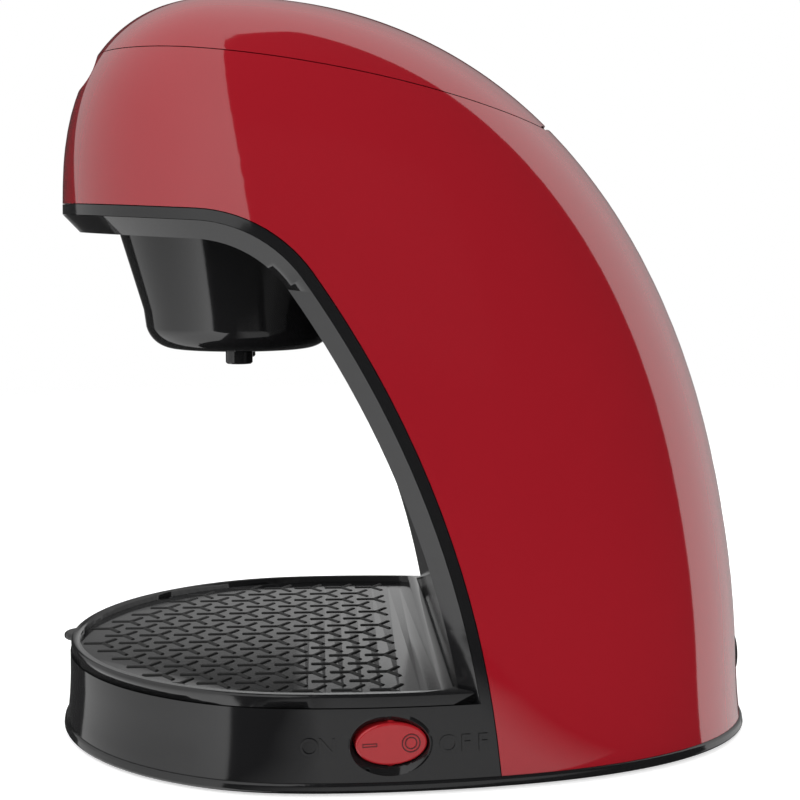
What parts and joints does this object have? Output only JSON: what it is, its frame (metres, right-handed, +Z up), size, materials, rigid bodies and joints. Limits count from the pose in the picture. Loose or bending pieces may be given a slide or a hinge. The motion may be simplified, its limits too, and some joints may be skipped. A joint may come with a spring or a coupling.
{
  "type": "drip coffee maker",
  "caption": "Drip coffee maker with a hinged lid over its tank and hanging filter basket, a pull-out drip tray under the cup bay and a rocker switch on one flank.",
  "frame": {"origin": "middle of the footprint, on the bench under the feet", "axes": "+Z up, -X towards the cup bay, -Y towards the flank with the switch"},
  "size_m": [0.242, 0.1816, 0.2504],
  "materials": {
    "red_shell": "glossy moulded plastic",
    "black_shell": "glossy moulded plastic",
    "tray_plastic": "satin moulded plastic",
    "dark_inner": "fine grained plastic",
    "tank_plastic": "natural polypropylene",
    "red_rocker": "translucent plastic",
    "dark_rubber": "moulded rubber",
    "silicone": "silicone hose",
    "steel": "plain steel",
    "filter_mesh": "woven mesh",
    "cast_aluminium": "cast and tumbled",
    "phenolic": "moulded phenolic",
    "fuse_can": "drawn can",
    "wire_sleeve": "insulated wire"
  },
  "bodies": {
    "housing": {"base_housing": "black_shell", "base_plate": "black_shell", "base_screws": "steel", "check_valve_body": "tank_plastic", "cold_hose": "silicone", "cord_gland": "dark_rubber", "heater_bracket": "steel", "heater_screws": "steel", "heating_element": "steel", "hose_clamps": "steel", "lid_hinge_pin": "steel", "outer_shell": "red_shell", "riser_grommet": "dark_rubber", "riser_tube": "silicone", "rubber_feet": "dark_rubber", "spine_panel": "black_shell", "supply_wires": "wire_sleeve", "switch_body": "black_shell", "thermal_fuse": "fuse_can", "thermostat": "phenolic", "top_deck": "dark_inner", "water_heater": "cast_aluminium", "water_tank": "tank_plastic"},
    "lid": {"lid": "red_shell", "lid_liner": "dark_inner", "shower_head": "dark_inner"},
    "basket": {"filter_basket": "black_shell"},
    "filter": {"filter_frame": "dark_inner", "filter_mesh": "filter_mesh"},
    "tray": {"drip_tray": "tray_plastic"},
    "rocker": {"switch_rocker": "red_rocker"},
    "valve": {"valve_ball": "steel"}
  },
  "joints": [
    {"name": "lid_hinge", "type": "hinge", "parent": "housing", "child": "lid", "pos_m": [0.04466, 0, 0.20614], "axis": [0, 1, 0], "range_deg": [0, 72]},
    {"name": "basket_lift", "type": "slide", "parent": "housing", "child": "basket", "axis": [0, 0, 1], "range_m": [0, 0.006]},
    {"name": "filter_lift", "type": "slide", "parent": "basket", "child": "filter", "axis": [0, 0, 1], "range_m": [0, 0.006]},
    {"name": "tray_slide", "type": "slide", "parent": "housing", "child": "tray", "axis": [-1, 0, 0], "range_m": [0, 0.13]},
    {"name": "rocker_tilt", "type": "hinge", "parent": "housing", "child": "rocker", "pos_m": [-0.0095, -0.08568, 0.0157], "axis": [0, 0, 1], "range_deg": [-16, 0]},
    {"name": "valve_ball_lift", "type": "slide", "parent": "housing", "child": "valve", "axis": [0, 0, 1], "range_m": [0, 0.0022]}
  ]
}
